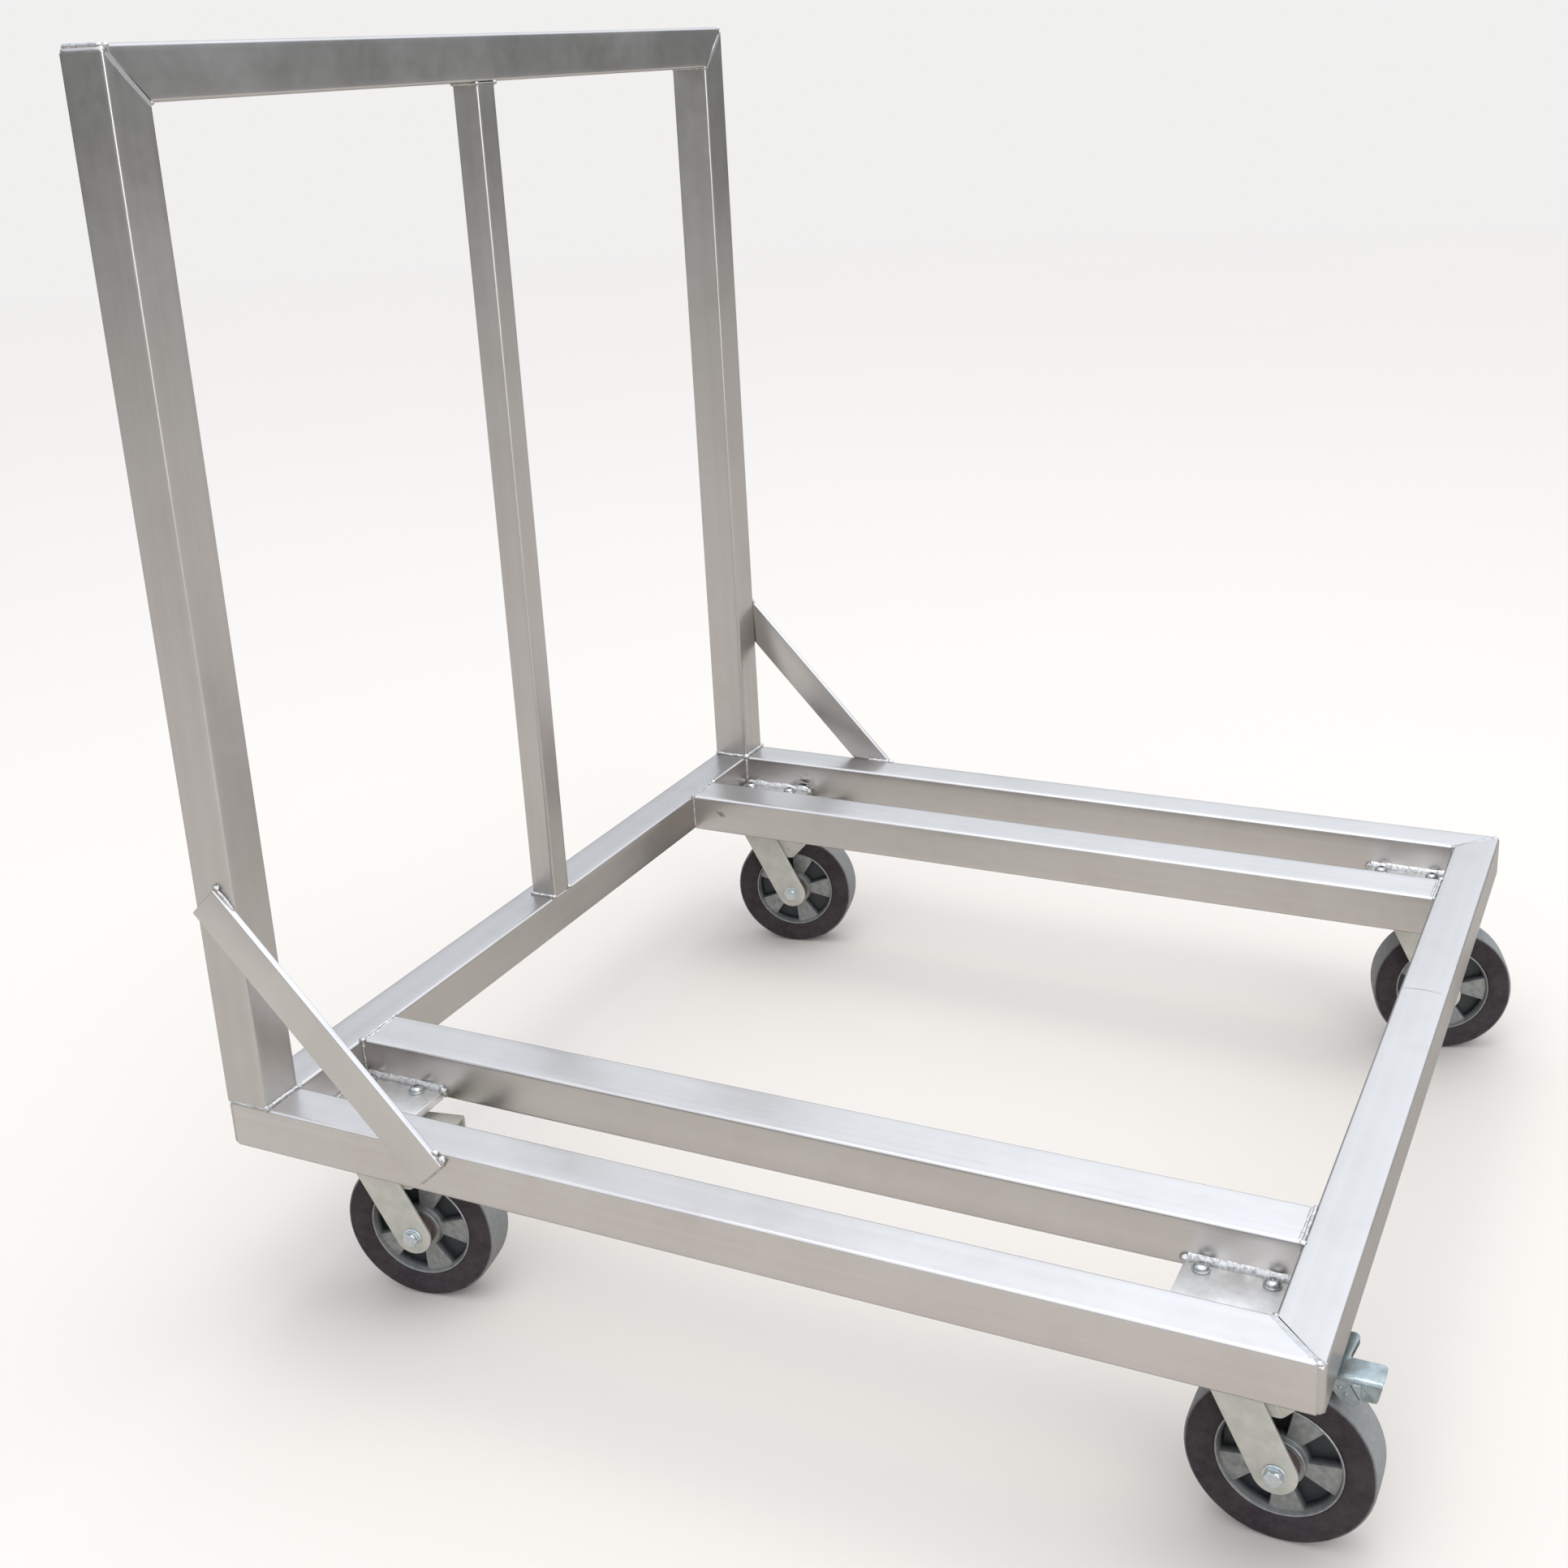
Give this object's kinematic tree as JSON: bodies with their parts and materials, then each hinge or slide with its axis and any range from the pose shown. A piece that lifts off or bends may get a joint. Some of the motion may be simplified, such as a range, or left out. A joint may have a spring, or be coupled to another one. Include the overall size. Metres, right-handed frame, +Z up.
{
  "type": "luggage trolley",
  "caption": "Welded box-tube luggage trolley: a flat open base on swivel casters, a tall handle frame with braces, and a foot brake on one caster.",
  "frame": {"origin": "on the floor, under the middle of the object's box at rest", "axes": "+X from the handle frame to the front, +Y to the left-hand side of whoever pushes, +Z up"},
  "size_m": [1.361, 1.3466, 1.525],
  "materials": {
    "mill_aluminium": "mill finish, satin",
    "zinc_plate": "zinc plated",
    "bolt_steel": "bright",
    "fork_steel": "dull pressed steel",
    "rim_alloy": "die-cast, dull",
    "bearing": "brown sleeve",
    "tyre_rubber": "dusty",
    "pedal_zinc": "bluish zinc plate",
    "shoe_rubber": "matt"
  },
  "bodies": {
    "frame": {"crossbar_front": "mill_aluminium", "crossbar_rear": "mill_aluminium", "outer_rail_right": "mill_aluminium", "outer_rail_left": "mill_aluminium", "inner_rail_right": "mill_aluminium", "inner_rail_left": "mill_aluminium", "post_right": "mill_aluminium", "post_left": "mill_aluminium", "handle_bar": "mill_aluminium", "mid_upright": "mill_aluminium", "brace_right": "mill_aluminium", "brace_left": "mill_aluminium", "mounting_plate_rear_right": "mill_aluminium", "mounting_plate_front_right": "mill_aluminium", "mounting_plate_rear_left": "mill_aluminium", "mounting_plate_front_left": "mill_aluminium", "caster_plate_rear_right": "zinc_plate", "caster_plate_front_right": "zinc_plate", "caster_plate_rear_left": "zinc_plate", "caster_plate_front_left": "zinc_plate", "bolt_rear_right_front_right": "bolt_steel", "bolt_rear_right_front_left": "bolt_steel", "bolt_rear_right_rear_right": "bolt_steel", "bolt_rear_right_rear_left": "bolt_steel", "bolt_front_right_front_right": "bolt_steel", "bolt_front_right_front_left": "bolt_steel", "bolt_front_right_rear_right": "bolt_steel", "bolt_front_right_rear_left": "bolt_steel", "bolt_rear_left_front_right": "bolt_steel", "bolt_rear_left_front_left": "bolt_steel", "bolt_rear_left_rear_right": "bolt_steel", "bolt_rear_left_rear_left": "bolt_steel", "bolt_front_left_front_right": "bolt_steel", "bolt_front_left_front_left": "bolt_steel", "bolt_front_left_rear_right": "bolt_steel", "bolt_front_left_rear_left": "bolt_steel"},
    "swivel_rear_right": {"fork_rear_right": "fork_steel", "axle_bolt_rear_right": "zinc_plate"},
    "wheel_rear_right": {"hub_bearing_rear_right": "bearing", "rim_rear_right": "rim_alloy", "tyre_rear_right": "tyre_rubber"},
    "swivel_front_right": {"fork_front_right": "fork_steel", "axle_bolt_front_right": "zinc_plate"},
    "wheel_front_right": {"hub_bearing_front_right": "bearing", "rim_front_right": "rim_alloy", "tyre_front_right": "tyre_rubber"},
    "swivel_rear_left": {"fork_rear_left": "fork_steel", "axle_bolt_rear_left": "zinc_plate"},
    "wheel_rear_left": {"hub_bearing_rear_left": "bearing", "rim_rear_left": "rim_alloy", "tyre_rear_left": "tyre_rubber"},
    "swivel_front_left": {"fork_front_left": "fork_steel", "axle_bolt_front_left": "zinc_plate"},
    "wheel_front_left": {"hub_bearing_front_left": "bearing", "rim_front_left": "rim_alloy", "tyre_front_left": "tyre_rubber"},
    "pedal": {"brake_pedal": "pedal_zinc", "brake_shoe": "shoe_rubber", "brake_pin": "zinc_plate"}
  },
  "joints": [
    {"name": "rear_right_swivel", "type": "hinge", "parent": "frame", "child": "swivel_rear_right", "pos_m": [-0.5695, -0.542, 0.235], "axis": [0, 0, 1], "continuous": true},
    {"name": "rear_right_wheel_spin", "type": "hinge", "parent": "swivel_rear_right", "child": "wheel_rear_right", "pos_m": [-0.50549, -0.53071, 0.1], "axis": [-0.1736, 0.9848, 0], "continuous": true},
    {"name": "front_right_swivel", "type": "hinge", "parent": "frame", "child": "swivel_front_right", "pos_m": [0.5155, -0.542, 0.235], "axis": [0, 0, 1], "continuous": true},
    {"name": "front_right_wheel_spin", "type": "hinge", "parent": "swivel_front_right", "child": "wheel_front_right", "pos_m": [0.5805, -0.542, 0.1], "axis": [0, 1, 0], "continuous": true},
    {"name": "rear_left_swivel", "type": "hinge", "parent": "frame", "child": "swivel_rear_left", "pos_m": [-0.5695, 0.542, 0.235], "axis": [0, 0, 1], "continuous": true},
    {"name": "rear_left_wheel_spin", "type": "hinge", "parent": "swivel_rear_left", "child": "wheel_rear_left", "pos_m": [-0.50592, 0.55551, 0.1], "axis": [-0.2079, 0.9781, 0], "continuous": true},
    {"name": "front_left_swivel", "type": "hinge", "parent": "frame", "child": "swivel_front_left", "pos_m": [0.5155, 0.542, 0.235], "axis": [0, 0, 1], "continuous": true},
    {"name": "front_left_wheel_spin", "type": "hinge", "parent": "swivel_front_left", "child": "wheel_front_left", "pos_m": [0.57798, 0.55992, 0.1], "axis": [-0.2756, 0.9613, 0], "continuous": true},
    {"name": "brake_pedal_hinge", "type": "hinge", "parent": "swivel_front_right", "child": "pedal", "pos_m": [0.6145, -0.542, 0.212], "axis": [0, 1, 0], "range_deg": [0, 12]}
  ]
}
